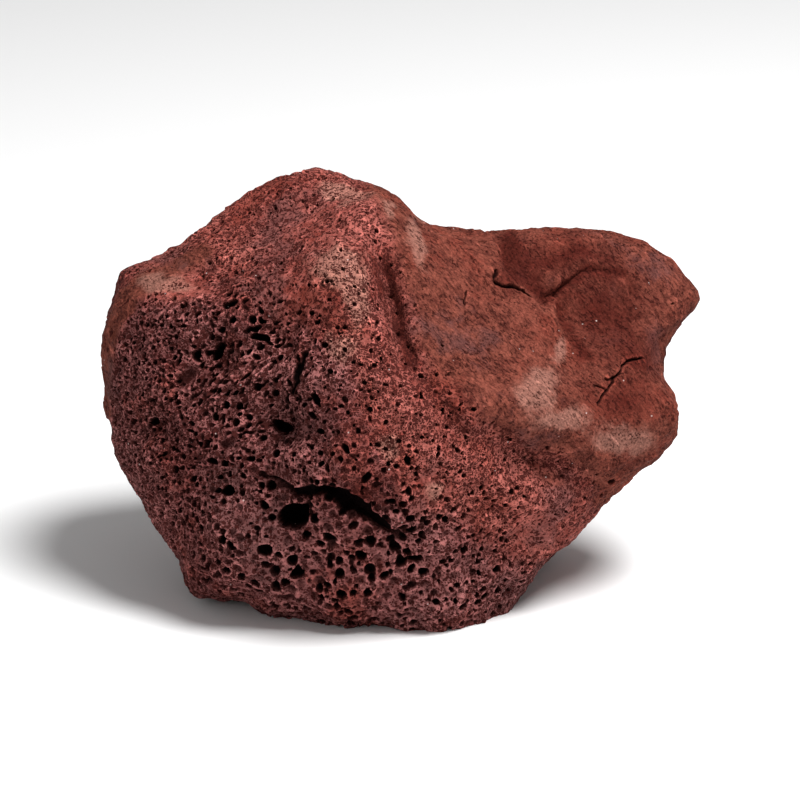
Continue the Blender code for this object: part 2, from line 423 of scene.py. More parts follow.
# What each zone adds: to a bubble's radius in mm, to the share of the skin that bubbles cover,
# and to the share of cells that are open as fine pits.
PLAIN_RADIUS = 0.43
RADIUS_ADDS = (("coarse", 0.74), ("drawn", 0.16), ("dark hollow", 0.25), ("patches", 0.50))
PLAIN_SHARE = 0.05
SHARE_ADDS = (("coarse", 0.85), ("drawn", 0.60), ("dark hollow", 0.40), ("net", 0.50))
BACK_SHARE_ADDS = (0.30, 0.16)
LEAST_SHARE = 0.0006
GROOVE_TAKES = 0.5
WARM_TAKES = 0.9
CROWN_TAKES = 0.02
PINS_ADDS = (("coarse", -0.55), ("drawn", -0.15), ("warm", -0.7), ("crown", -0.45))
GROOVE_PINS = 1.15


def patch(place, across, up, half_across, half_up):
    """exp(-(distance / half width)^2), with a half width across and another up."""
    side = (place[:, 0] - across) / half_across
    rise = (place[:, 1] - up) / half_up
    return np.exp(-(side ** 2 + rise ** 2))


def beside_run(place, run):
    """Signed distance to a run, positive on its left, and the share of its length passed."""
    nearest = np.full(len(place), np.inf)
    side = np.ones(len(place))
    passed = np.zeros(len(place))
    lengths = [math.dist(a, b) for a, b in zip(run[:-1], run[1:])]
    before = 0
    run = np.array(run, dtype=float)
    for start, end, length in zip(run[:-1], run[1:], lengths):
        t, gap = gap_to_piece(place, start, end)
        distance = np.hypot(gap[:, 0], gap[:, 1])
        closer = distance < nearest
        across, up = end - start
        turn = across * gap[:, 1] - up * gap[:, 0]
        side = np.where(closer, np.sign(turn), side)
        passed = np.where(closer, (before + t * length) / sum(lengths), passed)
        nearest = np.minimum(nearest, distance)
        before += length
    return nearest * side, passed


def sum_of_patches(place, patches):
    return sum(patch(place, *spot) for spot in patches)


def add_up(value, amounts, zone):
    """The value plus the sum of amount * zone."""
    for name, amount in amounts:
        value = value + amount * zone[name]
    return value


def foam_on(point, place, front, ragged):
    """1 on foam and 0 on the dense skin, before the groove and the rim are taken into account."""
    beside, _ = beside_run(place, SLAB_EDGE)
    beside = SLAB_RAGGED * ragged - beside
    slope, wave, size, raggedness = BACK_EDGE
    behind = slope * (BACK_EDGE_UP - place[:, 1]) + wave * soft_noise(point, size, 3)
    behind = behind + raggedness * ragged
    return smooth_step(*FOAM_EDGE, front * beside + (1 - front) * behind)


def zones(point, place, facing):
    """For skin points: foam, shade, drawn and pins, each 0 to 1, and bubble radius and share."""
    front = smooth_step(*BACK_TO_FRONT, facing)
    ragged = rough_noise(point, RAGGED_SIZE, 3)
    groove = front * along_run(place + GROOVE_RAGGED * ragged[:, None], GROOVE, GROOVE_HALF_WIDTH)
    foam = np.maximum(foam_on(point, place, front, ragged), groove)
    rim = front * along_run(place + ragged[:, None], RIM, RIM_HALF_WIDTH)
    rim = smooth_step(*RIM_EDGE, rim)
    foam = foam * (1 - rim)

    line = np.array(SHADE_LINE)
    under = np.interp(place[:, 0], line[:, 0], line[:, 1]) - place[:, 1] + SHADE_RAGGED * ragged
    shade = front * smooth_step(*SHADE_EDGE, under) + (1 - front) * BACK_SHADE * foam
    warm = np.clip(front * sum_of_patches(place, WARM_PATCHES), 0, 1)
    shade = shade * (1 - warm) * (1 - groove) * (1 - rim)

    zone = {name: front * patch(place, *spot) for name, spot in ZONE_PATCHES.items()}
    zone["warm"] = warm
    patches = smooth_step(*BACK_PATCH_EDGE, soft_noise(point, BACK_PATCH_SIZE, 5))
    zone["patches"] = (1 - front) * patches
    radius = add_up(PLAIN_RADIUS, RADIUS_ADDS, zone)
    share = add_up(PLAIN_SHARE, SHARE_ADDS, zone)
    share += BACK_SHARE_ADDS[0] * zone["patches"] + BACK_SHARE_ADDS[1] * (1 - front)
    share = share - CROWN_TAKES * zone["crown"]
    share = LEAST_SHARE + foam * (1 - GROOVE_TAKES * groove) * (1 - WARM_TAKES * warm) * share
    pins = np.maximum(foam * add_up(1, PINS_ADDS, zone), GROOVE_PINS * groove)
    return foam, shade, zone["drawn"], pins, radius, share


# %% [markdown]
# ## The ground before the bubbles
#
# Five things are laid over the smooth skin: mid-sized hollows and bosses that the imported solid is
# too plain to carry, a ragged breakage on the foam, drawn-out strands on the left, a streaky grain
# on the slab, and the arched ledge and the cracks. Last of all, whatever lies below the resting
# face is cut level.

# %% Hollows, bosses and cracks
# Written as SWELLS and RUNS are. Hollows and folds bend the ground, and cracks are carved into it.
HOLLOWS = (
    ("purple hollow", (-34, 91), 10, -2.2),
    ("drawn hollow", (-53, 83), 5, -3),
    ("side dish", (-61.6, 76.2), 4.5, -1.8),
    ("left pit", (-37, 62.5), 5.5, -3.6),
    ("left pit tail", (-25, 59), 5, -2.4),
    ("left boss", (-44, 75), 6, 1.4),
    ("low boss", (-49, 57), 6, 1),
    ("edge pit", (-72, 61.5), 5, -2.4),
    ("low left hollow", (-50, 43), 6, -1.8),
    ("right boss", (1, 48), 7, 1.4),
    ("foot boss", (-10, 15), 12, 1.2),
    ("right foot boss", (20, 8), 9, 2.2),
    ("lower right hollow", (25, 33), 11, -1.4),
    ("lip shadow", (33, 53), 7, -1.8),
    ("nub", (-7.5, 126), 4.5, 1.6),
    ("pale ridge", (-12.5, 99), 4.5, 1.6),
    ("centre boss", (-19, 108), 8, 1.2),
    ("wing tongue", (44.5, 105), 4, 2.4),
    ("plate", (34, 102.5), 4.5, 1.6),
    ("wing top", (55, 115.5), 9, 1.2),
    ("bowl floor", (58, 95), 9, -1.4),
    ("left cavity", (-34.6, 61.5), 3.6, -3),
)
FOLDS = (
    ("wing fold", ((31, 117), (34, 109), (39.5, 103), (43, 99.5)), 2.2, -3.6),
    ("bowl brow", ((45.5, 101), (52, 104.6), (58, 107.8), (66, 106), (70, 101.5)), 1.4, -2.4),
    ("bowl side", ((49.5, 103), (48, 95), (50, 88), (56, 82)), 1.4, -2),
    ("bowl ridge", ((72, 103), (74.5, 95), (72, 86)), 2.2, 1.6),
    ("groove bed", ((-4.5, 108), (-2.5, 98), (0, 88), (3.5, 80)), 2, -2.6),
    ("top fold", ((38, 112), (52, 113), (64, 111)), 1.4, -1.5),
)
CRACKS = (
    ("plate crack", ((27.5, 107.4), (28.1, 103.7), (30.1, 101.7), (37.6, 98.8)), 0.40, -2.2),
    ("thin crack", ((18.8, 101), (19.7, 96.2)), 0.30, -1.4),
    ("branching crack", ((71, 81.2), (69.5, 80.6), (66, 80), (62.2, 74.8), (57.3, 68.4)), 0.34, -1.8),
    ("branch", ((64, 77.1), (61.4, 75.4), (59.6, 75.9)), 0.28, -1.4),
    ("side branch", ((59, 72), (56.5, 73.2)), 0.28, -1.4),
    ("middle gap", ((-30.5, 72), (-29, 76), (-28, 81)), 0.8, -3),
    ("nub crease", ((-6.5, 121.5), (-2, 118)), 0.5, -0.6),
    ("gap left end", ((-38.5, 47), (-34, 44.5)), 0.8, -2),
    ("brow crack", ((45.5, 101.5), (51.5, 104.6), (54, 107), (60, 108), (66, 106.4)), 0.50, -0.9),
)

# %% The ledge
LEDGE = (
    (-40, 47), (-34.6, 46), (-30, 44.7), (-24.5, 45), (-17.3, 44.4),
    (-12.7, 41.6), (-8.4, 38.5), (-2.9, 34.4), (0.6, 31.8), (7, 28.5),
)
LEDGE_TAPER = 0.7
LEDGE_DROP = 3
LEDGE_CLIMB = 9
LEDGE_BROW = 1.6
BROW_BACK = 5
LEDGE_LIP = (-0.8, 0.4)
LEDGE_GAP = 6.5
GAP_UNDER = 2.6
GAP_HALF_WIDTH = 2.1
GAP_AT_ENDS = 0.35


def ledge(place):
    """The step (a brow over a drop that climbs back), and how deep the gap under it is."""
    beside, passed = beside_run(place, LEDGE)
    taper = np.sin(math.pi * np.clip(passed, 0, 1)) ** LEDGE_TAPER
    drop = -LEDGE_DROP * np.exp(-np.clip(-beside, 0, None) / LEDGE_CLIMB)
    brow = LEDGE_BROW * np.exp(-np.clip(beside, 0, None) / BROW_BACK)
    step = taper * (drop + smooth_step(*LEDGE_LIP, beside) * (brow - drop))
    half_width = GAP_HALF_WIDTH * (GAP_AT_ENDS + (1 - GAP_AT_ENDS) * taper)
    gap = LEDGE_GAP * np.exp(-(((beside + GAP_UNDER) / half_width) ** 4))
    return step, taper ** 2 * gap


# %% Strands, grain and breakage
STRAND_WAY = to_world(np.array((0.76, 0.65, 0)))
STREAK_WAY = to_world(np.array((0.66, -0.75, 0)))
OUT_WAY = to_world(np.array((0, 0, 1)))
CREST_LEVEL = 0.35
CREST_SHIFT = 7.7

# Each pair: height in mm, and its noise as size in mm, number of layers and shift.
FOAM_LUMPS = (1, (11, 4))
FOAM_CRESTS = (1.6, (7, 2, 4))
FOAM_SINK = 0.3
FOAM_GRAIN = (0.30, (2.4, 73))
DENSE_LUMPS = (0.8, (9, 4, 9))

# Drawn-out noise: height, then length and width in mm, then layers and shift.
STRANDS = (2.6, (15, 4.5), (2, 13))
STREAKS = (1.2, (14, 3.6), (2, 29))

# Two noises move the hollows and cracks a little, so that none of them is straight.
WOBBLE_SIZE = 5
WOBBLE_LAYERS = 4
WOBBLE_SHIFTS = (21, 47)


def along(point, way, length, width):
    """The point measured along a way and across it, so that noise read there is drawn out."""
    side = np.cross(OUT_WAY, way)
    return np.stack((point @ way / length, point @ side / width, point @ OUT_WAY / width), axis=-1)


def ridges(point, size, layers, shift=0):
    """Sum of CREST_LEVEL - |soft noise|, halved in size and height each time: sharp crests."""
    total = np.zeros(len(point))
    for layer in range(layers):
        half = 0.5 ** layer
        fold = np.abs(soft_noise(point, size * half, shift + CREST_SHIFT * layer))
        total += half * (CREST_LEVEL - fold)
    return total


def noises(point, size, layers, shifts):
    """Rough noise read at several shifts, side by side."""
    return np.stack([rough_noise(point, size, layers, shift) for shift in shifts], axis=-1)


def drawn_ridges(point, way, size, reading):
    return ridges(along(point, way, *size), 1, *reading)


def ground(direction):
    """The skin's reach with everything laid over it, depth of cracks to carve, and the zones."""
    reach, place, facing = skin(direction)
    point = direction * reach[:, None]
    place = to_front(point)[:, :2] + (MIDDLE_ACROSS, MIDDLE_UP)
    zone = zones(point, place, facing)
    foam, _, drawn = zone[:3]
    in_front = smooth_step(0, OUTLINE_BAND, facing)
    wobble = place + noises(point, WOBBLE_SIZE, WOBBLE_LAYERS, WOBBLE_SHIFTS)

    broken = FOAM_LUMPS[0] * rough_noise(point, *FOAM_LUMPS[1])
    broken = broken + FOAM_CRESTS[0] * ridges(point, *FOAM_CRESTS[1])
    height = foam * (broken - FOAM_SINK)
    height += FOAM_GRAIN[0] * foam * soft_noise(point, *FOAM_GRAIN[1])
    height += STRANDS[0] * drawn * drawn_ridges(point, STRAND_WAY, *STRANDS[1:])
    grain = DENSE_LUMPS[0] * rough_noise(point, *DENSE_LUMPS[1])
    grain += STREAKS[0] * drawn_ridges(point, STREAK_WAY, *STREAKS[1:])
    height += (1 - foam) * grain

    step, gap = ledge(wobble)
    height += in_front * (relief(wobble, HOLLOWS, FOLDS) + step)
    cracks = in_front * (gap - relief(wobble, (), CRACKS))
    level = FOOT_DROP / np.clip(-direction[:, 2], 1e-6, None)
    return np.minimum(reach + height, level), cracks, zone


reach, cracks, (foam, shade, drawn, pins, bubble_size, bubble_share) = ground(flat_grid)
say(f"ground laid, {100.0 * foam.mean():.0f} percent of it foam")

# %% [markdown]
# ## Bubbles that stand out
#
# The largest bubbles are the stone's fingerprint, so they are placed one by one: where each lies
# across and up, half its width and height, and how far it is tilted. Open ones run deep and look
# black. Dishes are the last of a wall that broke away, and are shallow.

# %% Bubbles placed one by one
# Each row: across, up, half width, half height, tilt in degrees.
OPEN_HOLES = (
    (-30.8, 35.2, 4.9, 3.8, 25), (-39.2, 25.2, 2, 2, 0), (-50.1, 42.5, 2.2, 1.7, 20),
    (-54.4, 51.4, 2, 1, 0), (-50.7, 50.6, 1.4, 0.9, -20), (-42.9, 52, 1.7, 0.9, 0),
    (-35.7, 53.2, 1.2, 1.4, 0), (-39.7, 38.5, 1.9, 1.2, -50), (-51.6, 28.7, 2, 1.3, 35),
    (-44.1, 29.5, 0.9, 0.7, 0), (-11.2, 23.8, 1.6, 2, 20), (-3.5, 21.2, 0.9, 1, 0),
    (-17.6, 22.3, 1.2, 1.2, 0), (-17.6, 18.3, 1.3, 1.7, 0), (-20.4, 20.9, 0.9, 1.3, 0),
    (-21, 15.1, 1.3, 1.3, 0), (-23.3, 13.7, 1.3, 1.2, 0), (-33.4, 16, 1.6, 1.6, 0),
    (-13.5, 19.2, 1.2, 1, 0), (-8.4, 17.2, 1.2, 1.3, 0), (-9.4, 12.8, 1.4, 1.7, 0),
    (-4.6, 18, 1.4, 1.2, 20), (4, 22.9, 2.9, 1.3, -15), (6.9, 19.2, 1.4, 1.3, 0),
    (-23, 27.2, 1.3, 1, -30), (-26.8, 30.1, 1.6, 1.3, 0), (-31.4, 25.8, 0.9, 0.9, 0),
    (-29.4, 25.2, 0.7, 0.9, 0), (-35.4, 24.1, 1.3, 1.2, 0), (-10.4, 34.2, 0.9, 0.7, -20),
    (-2.9, 29, 1.2, 1.3, -30), (3.2, 31.6, 1.7, 1.4, 0), (-29.7, 20.3, 0.9, 0.9, 0),
    (-26.8, 23.2, 1, 0.7, 0), (-25.6, 18.9, 0.9, 0.7, 0), (1.7, 14.3, 0.9, 0.9, 0),
    (-18.7, 10.2, 1.2, 1, 0), (-20.4, 5.6, 1, 0.9, 0), (-37.4, 9.4, 1, 0.7, 0),
    (-15, 7.1, 1.4, 1.4, 0), (-13.8, 12.6, 1.3, 1.2, 0), (-15.6, 54.9, 1.7, 1, -50),
    (-22.5, 59.8, 1.4, 0.9, -20), (-9.8, 46.8, 2, 1.2, 50), (-2.9, 39.9, 1.7, 1, 0),
    (-12.4, 60.4, 0.9, 0.9, 0), (-50.7, 67.3, 1, 1.2, 0), (-46.4, 67, 1.3, 1.3, 0),
    (-53.6, 64.1, 1.4, 1.3, 20), (-51.3, 62.4, 0.9, 1, 0), (-47.5, 62.7, 1.2, 1, 0),
    (-43.5, 64.1, 1, 1, 0), (-39.7, 57.8, 1, 1, 0), (-56.2, 56.6, 0.7, 1.4, 0),
    (-49, 97.2, 2.9, 1.2, 10), (-49.8, 99.8, 1.3, 1, 0), (-40.6, 87.1, 3, 1, -10),
    (-52.7, 83.4, 3.7, 1.7, 55), (-59, 82, 1.7, 1.2, 60), (-64.5, 80.5, 1.7, 0.7, 60),
    (-51.8, 89.4, 1.6, 1, 10), (-59, 93.8, 1.2, 0.7, 20), (-40.3, 94.9, 1.2, 0.7, -60),
    (-55, 77.9, 1, 0.7, 30), (-41.5, 81.4, 1.2, 0.9, 0), (-41.5, 72.7, 1.3, 1.2, 0),
    (-35.7, 74.8, 1, 1, 0), (-36, 79.9, 0.9, 0.7, 0), (-30, 77.1, 3.2, 0.9, 80),
    (-32.5, 69, 2.3, 1, 70), (-36, 71.3, 1.2, 1.2, 0), (-73.2, 69, 1.3, 0.6, 10),
    (-78.6, 62.7, 1.4, 1, 30), (-72.3, 62.7, 2, 1.2, 20), (2.3, 51.7, 1, 1.3, 0),
    (6, 70.2, 1.4, 0.6, 80), (21.3, 66.4, 0.9, 0.7, 0), (43.2, 55.2, 0.9, 0.6, -50),
    (62.8, 45.1, 0.9, 1.2, 0), (54.4, 39.9, 0.9, 0.7, 0), (32.5, 42.2, 1.3, 0.9, -50),
    (27.4, 39.9, 0.9, 0.7, 0), (12.7, 21.8, 1.2, 0.9, 0), (23, 21.8, 1, 0.9, 0),
    (28.5, 19.2, 1.7, 1, -20), (9.8, 17.4, 0.7, 0.9, 0), (1.7, 14, 0.7, 0.9, 0),
    (25.1, 11.1, 1.3, 1.2, 0), (22.8, 9.7, 1.3, 1.2, 0), (28.8, 12.8, 1.2, 1.2, 0),
    (18.7, 8.5, 1.4, 1, 0), (10.7, 10, 1.2, 1, 0), (10.9, 6.2, 0.7, 0.9, 0),
    (38.6, 20.9, 0.9, 0.9, 0), (11.8, 41.1, 0.9, 0.9, 0), (11.5, 35.3, 1.3, 1, 0),
    (0.9, 44.5, 0.7, 0.9, 0), (-37.4, 44.2, 1.4, 1.2, 70), (-65.7, 48.8, 1.3, 0.9, 50),
    (-68.3, 38.8, 1.2, 0.9, 40), (-60.5, 46, 1.3, 0.9, 20), (-62.8, 34.4, 1.3, 0.9, 50),
    (-57.6, 22.9, 1.3, 1, 30), (-61.9, 25.8, 1.2, 0.7, 50), (-53, 17.7, 1.2, 1, 0),
    (-69.1, 53.2, 1.2, 0.7, 40), (-46.1, 85.4, 1.4, 0.9, 45), (-31.7, 84.8, 1.3, 0.7, -30),
    (-28.8, 69.6, 1.3, 0.9, 60), (-25.3, 64.7, 1.4, 0.9, -40), (-27.4, 82, 1.2, 0.9, 0),
    (-21.6, 84.8, 1.2, 0.9, 30), (-20.2, 77.1, 1, 0.9, 0), (-15.8, 69, 0.9, 0.9, 0),
    (-8.6, 66.1, 0.9, 0.9, 0), (-23.6, 91.2, 1.3, 0.7, 20), (-28.8, 94.3, 1.2, 0.7, 0),
    (-34.6, 97.8, 1.3, 0.7, 10), (-34.6, 61.5, 3.6, 1.7, -25), (-24.2, 69, 2.4, 1, -50),
    (-28, 36.9, 2, 1.5, 40),
)
DISHES = (
    (-47.2, 33.9, 2.9, 2.4, 0), (-44.1, 44.8, 2, 1.6, 0), (-42.6, 48.8, 2.9, 1.7, 0),
    (-45.5, 21.2, 1.9, 1.9, 0), (-6, 22.6, 2, 2.4, 10), (-28.5, 15.4, 1.7, 1.6, 0),
    (-15.3, 28.1, 2.2, 1.7, 0), (-1.4, 9.4, 1.4, 1.2, 0), (-32.8, 10.8, 3.7, 2, 0),
    (-16.1, 9.4, 1.4, 1.3, 0), (-5.8, 12.8, 1.2, 1.6, 0), (6.9, 15.1, 1.9, 1.3, 0),
    (4, 7.4, 2.2, 1.3, 0), (-16.7, 48.6, 2.2, 1.4, 0), (-24.8, 49.1, 2, 1.3, 0),
    (15.6, 17.4, 2.2, 1.4, 0), (3.7, 11.4, 1.4, 0.9, 0), (-45.5, 90.9, 1.4, 1.2, 30),
    (-57, 87.1, 1.4, 1.2, 40), (-61.6, 76.2, 3.5, 2, 45), (-35.7, 82.8, 1.2, 1.2, 0),
    (-50.1, 56.3, 2.3, 1.6, 20), (-53.3, 36.7, 1.9, 1.4, 0), (-55.3, 43.1, 1.7, 1.3, 0),
    (-37.4, 31, 1.7, 1.3, 0), (-21.6, 34.4, 2, 1.2, 0), (-28.8, 10, 1.9, 1.3, 0),
    (-11.5, 7.9, 1.9, 1.2, 0), (13, 14.3, 1.7, 1.3, 0), (17.3, 21.5, 1.7, 1, 0),
    (8.6, 26.4, 1.6, 1.2, 0), (0, 19.5, 1.4, 1.2, 0),
)

# On the other sides: the way each one lies from the middle, and its radius.
BACK_HOLES = (
    ((-0.45, 0.85, 0.25), 2.6), ((0.20, 0.95, -0.15), 1.7), ((-0.10, 0.80, 0.60), 2),
    ((0.95, 0.25, -0.05), 1.5), ((-0.92, 0.38, -0.05), 2.4), ((-0.30, 0.60, 0.75), 1.6),
)


# %% [markdown]
# ## Bubbles that don't overlap
#
# Foam looks like foam because its bubbles crowd each other and leave thin walls. Random circles
# alone would overlap and leave bald spots. So many more bubbles are proposed than fit, the
# largest are placed first, and one that would cut through a neighbour's wall is thrown away.

# %% Where the bubbles go
WALL_SHARE = 0.90
SIZE_SPREAD = 0.38
SMALLEST = 0.40
LARGEST = 1.7
CROWDING = 2.2
CELL = 1.5
CHOICE_SEED = 101
SHAPE_SEED = 202


def spread_of(cells_reach):
    """Area of skin that each grid point stands for, and the outward normal there."""
    point = (flat_grid * cells_reach[:, None]).reshape(grid.shape)
    along_row = np.gradient(point, axis=1)
    along_column = np.gradient(point, axis=2)
    normal = np.cross(along_row, along_column)
    area = np.linalg.norm(normal, axis=-1)
    return area.reshape(-1), normal / area[..., None]


def crowd(centres, radii, taken):
    """Indices of the bubbles kept: largest first, none nearer than WALL_SHARE of both radii."""
    homes = {}

    def settle(centre, radius):
        span = 2 * WALL_SHARE * radius
        low = np.floor((centre - span) / CELL).astype(int)
        high = np.floor((centre + span) / CELL).astype(int)
        for x in range(low[0], high[0] + 1):
            for y in range(low[1], high[1] + 1):
                for z in range(low[2], high[2] + 1):
                    homes.setdefault((x, y, z), []).append((centre, radius))

    for centre, radius in taken:
        settle(centre, radius)
    kept = []
    for index in np.argsort(-radii):
        centre, radius = centres[index], radii[index]
        home = tuple(np.floor(centre / CELL).astype(int))
        clear = True
        for other, other_radius in homes.get(home, ()):
            gap = centre - other
            if gap @ gap < (WALL_SHARE * (radius + other_radius)) ** 2:
                clear = False
                break
        if clear:
            kept.append(index)
            settle(centre, radius)
    return np.array(kept)


def scatter(size, share, taken, seed):
    """Propose bubbles in proportion to area * share / (pi radius^2) and keep those that fit."""
    chance = np.random.default_rng(seed)
    wanted = skin_area * share / (math.pi * size ** 2)
    total = int(CROWDING * wanted.sum())
    spots = chance.choice(len(wanted), total, p=wanted / wanted.sum())
    radii = size[spots] * np.exp(chance.normal(0, SIZE_SPREAD, total))
    radii = np.clip(radii, SMALLEST, LARGEST * size[spots])
    kept = crowd(flat_points[spots], radii, taken)
    return spots[kept], radii[kept]


# %% [markdown]
# ## Bursting the bubbles
#
# A bubble is an egg: a ball squeezed by a 3 x 3 matrix. Each ground point inside the egg sinks
# straight into the stone until it meets the egg's far wall. The way in is against the plain
# body's outward normal, which near the front is leaned toward the front, so that one can see
# into the holes there and they look dark. The deepest sinking wins where eggs meet. Each egg
# touches only a small window of one or two grids, so thousands of them cost little.

# %% The way in
BEND = 0.36
BEND_NOISE = (2.6, 2, (51, 53, 57))
LEAN_OUT = 0.6

flat_points = flat_grid * reach[:, None]
bent = (flat_points + BEND * noises(flat_points, *BEND_NOISE)).reshape(grid.shape)
skin_area, normals = spread_of(body_reach(to_front(flat_grid)))
lean_out = LEAN_OUT * smooth_step(0, OUTLINE_BAND, facing)
normals = normals + lean_out.reshape(normals.shape[:3] + (1,)) * OUT_WAY
normals /= np.linalg.norm(normals, axis=-1, keepdims=True)
flat_normals = normals.reshape(-1, 3)

# %% Carving
WINDOW = 1.7
SIDE_SEES = 0.35
depth = np.clip(cracks, 0, None).reshape(grid.shape[:3])


def egg(normal, flow, half_long, half_wide, half_deep):
    """Matrix that turns an egg into a unit ball: long along flow, deep along the normal."""
    flow = flow - normal * (flow @ normal)
    flow = flow / max(np.linalg.norm(flow), 1e-9)
    rows = np.stack((flow, np.cross(normal, flow), normal))
    return rows / np.array([half_long, half_wide, half_deep])[:, None]


def burst(centre, matrix, reach_of_egg):
    """Sink points in the egg to the far root t of a t^2 - 2 b t + c = 0, in each grid's window."""
    distance = np.linalg.norm(centre)
    margin = WINDOW * reach_of_egg / distance
    for side, (out, right, up) in enumerate(SIDES):
        ahead = centre @ out
        if ahead < SIDE_SEES * distance:
            continue
        spans = []
        for axis in (right, up):
            middle = math.atan2(centre @ axis, ahead)
            low = math.floor((middle - margin + QUARTER) / (2 * QUARTER) * CELLS)
            high = math.ceil((middle + margin + QUARTER) / (2 * QUARTER) * CELLS) + 1
            spans.append(slice(max(low, 0), min(high, CELLS + 1)))
        rows, columns = spans
        if rows.start >= rows.stop or columns.start >= columns.stop:
            continue
        local = (bent[side, rows, columns] - centre) @ matrix.T
        line = normals[side, rows, columns] @ matrix.T
        a = (line * line).sum(-1)
        b = (local * line).sum(-1)
        c = (local * local).sum(-1) - 1
        window = depth[side, rows, columns]
        inside = c < 0
        far = (b + np.sqrt(np.clip(b * b - a * c, 0, None))) / a
        window[inside] = np.maximum(window, far)[inside]


# %% Bursting the listed ones
# An egg's middle lies under the ground, or over it where negative, by this share of its depth.
# An egg's depth is given as a share of its radius.
OPEN_SINK, OPEN_DEPTH = 0.35, 1.8
DISH_SINK, DISH_DEPTH = -0.45, 0.9
BACK_SINK, BACK_EGG = 0.4, (1.3, 0.9, 1.5)
BACK_REACH = 1.6
BACK_FLOW = (0.3, 0.2, 1)
SEEN_IN_FRONT = 0.15


def grid_point_at(across, up):
    """Index of the front grid point that shows nearest to (across, up)."""
    gap = np.hypot(ground_place[:, 0] - across, ground_place[:, 1] - up)
    return int(np.argmin(np.where(facing > SEEN_IN_FRONT, gap, np.inf)))


def burst_placed(rows, sink, depth_share):
    """Burst each egg in a table, cut by the ground at the size it is given; list what it takes."""
    taken = []
    for across, up, half_wide, half_tall, tilt in rows:
        index = grid_point_at(across, up)
        surface, normal = flat_points[index], flat_normals[index]
        turn = math.radians(tilt)
        flow = to_world(np.array((math.cos(turn), math.sin(turn), 0)))
        widen = 1 / math.sqrt(1 - sink * sink)
        size = math.sqrt(half_wide * half_tall)
        deep = depth_share * size
        matrix = egg(normal, flow, half_wide * widen, half_tall * widen, deep)
        burst(surface - normal * (sink * deep), matrix, widen * max(half_wide, half_tall, deep))
        taken.append((surface, size))
    return taken


def burst_behind(holes):
    """Burst an egg on the skin in each given direction from the middle; list what it takes."""
    taken = []
    for way, radius in holes:
        index = int(np.argmax(flat_grid @ (np.array(way) / np.linalg.norm(way))))
        surface, normal = flat_points[index], flat_normals[index]
        matrix = egg(normal, np.array(BACK_FLOW), *(share * radius for share in BACK_EGG))
        burst(surface - normal * (BACK_SINK * radius), matrix, BACK_REACH * radius)
        taken.append((surface, radius))
    return taken


ground_place = to_front(flat_points)[:, :2] + (MIDDLE_ACROSS, MIDDLE_UP)
taken = burst_placed(DISHES, DISH_SINK, DISH_DEPTH)
taken += burst_placed(OPEN_HOLES, OPEN_SINK, OPEN_DEPTH)
taken += burst_behind(BACK_HOLES)
say(f"{len(taken)} bubbles placed by hand")

# %% Scattered bubbles
FLOW_PULL = 4
STRETCH_SPREAD = 0.20
DRAWN_STRETCH = 0.9
LONGER, THINNER = 0.7, 0.5
DISH_CHANCE = 0.46
DISH_SINKS, DISH_DEEP = (-0.45, -0.1), 1.05
OPEN_SINKS, OPEN_DEEPS = (0.1, 0.6), (1.3, 2)
FLANK_RADIUS = 1.05
FLANK_SIZES = (0.45, 0.75)
FLANK_OUT = 0.8


def burst_scattered(spots, radii, seed):
    """Burst an egg at each spot, with smaller ones on the flank of the larger."""
    chance = np.random.default_rng(seed)
    count = len(spots)
    surface, normal = flat_points[spots], flat_normals[spots]
    flows = chance.normal(size=(count, 3)) + FLOW_PULL * drawn[spots, None] * STRAND_WAY
    stretches = 1 + np.abs(chance.normal(0, STRETCH_SPREAD, count))
    stretches = stretches + DRAWN_STRETCH * drawn[spots] ** 2
    dish = chance.uniform(size=count) < DISH_CHANCE
    sinks = np.where(dish, chance.uniform(*DISH_SINKS, count), chance.uniform(*OPEN_SINKS, count))
    deeps = radii * np.where(dish, DISH_DEEP, chance.uniform(*OPEN_DEEPS, count))
    sides = np.cross(normal, chance.normal(size=(count, 3)))
    sides /= np.linalg.norm(sides, axis=1)[:, None]
    flank = chance.uniform(*FLANK_SIZES, count)
    for i in range(count):
        long, wide = radii[i] * stretches[i] ** LONGER, radii[i] / stretches[i] ** THINNER
        matrix = egg(normal[i], flows[i], long, wide, deeps[i])
        centre = surface[i] - normal[i] * (sinks[i] * deeps[i])
        burst(centre, matrix, max(long, deeps[i]))
        if radii[i] > FLANK_RADIUS:
            centre = centre + sides[i] * (FLANK_OUT * radii[i])
            burst(centre, matrix / flank[i], flank[i] * max(long, deeps[i]))


spots, radii = scatter(bubble_size, bubble_share, taken, CHOICE_SEED)
say(f"{len(spots)} bubbles, radius {radii.min():.2f} to {radii.max():.2f} mm")
burst_scattered(spots, radii, SHAPE_SEED)
carved = flat_points - depth.reshape(-1, 1) * flat_normals
carved[:, 2] = np.maximum(carved[:, 2], -FOOT_DROP)
say(f"burst, deepest hollow {depth.max():.1f} mm")

# %% [markdown]
# ## From grids to one closed mesh
#
# The six grids make nearly two million triangles, most of them wasted on flat ground. The Decimate
# modifier folds away the edges whose loss is seen least, so that walls and rims keep their points,
# and leaves one closed mesh under 200,000 triangles.

# %% The mesh
TRIANGLES = 198000
MIDDLE = np.array((MIDDLE_ACROSS, MIDDLE_BACK, FOOT_DROP))


def weld_numbers():
    """For each grid point the number of its welded point, and one grid point for each of those."""
    numbers = shared_numbers().reshape(-1)
    _, first, welded = np.unique(numbers, return_index=True, return_inverse=True)
    return first, welded.reshape(-1)


def grid_quads(welded):
    """Corner numbers of every cell, anticlockwise as seen from outside."""
    number = welded.reshape(grid.shape[:3])
    corners = (number[:, :-1, :-1], number[:, 1:, :-1], number[:, 1:, 1:], number[:, :-1, 1:])
    return np.stack(corners, axis=-1).reshape(-1, 4)


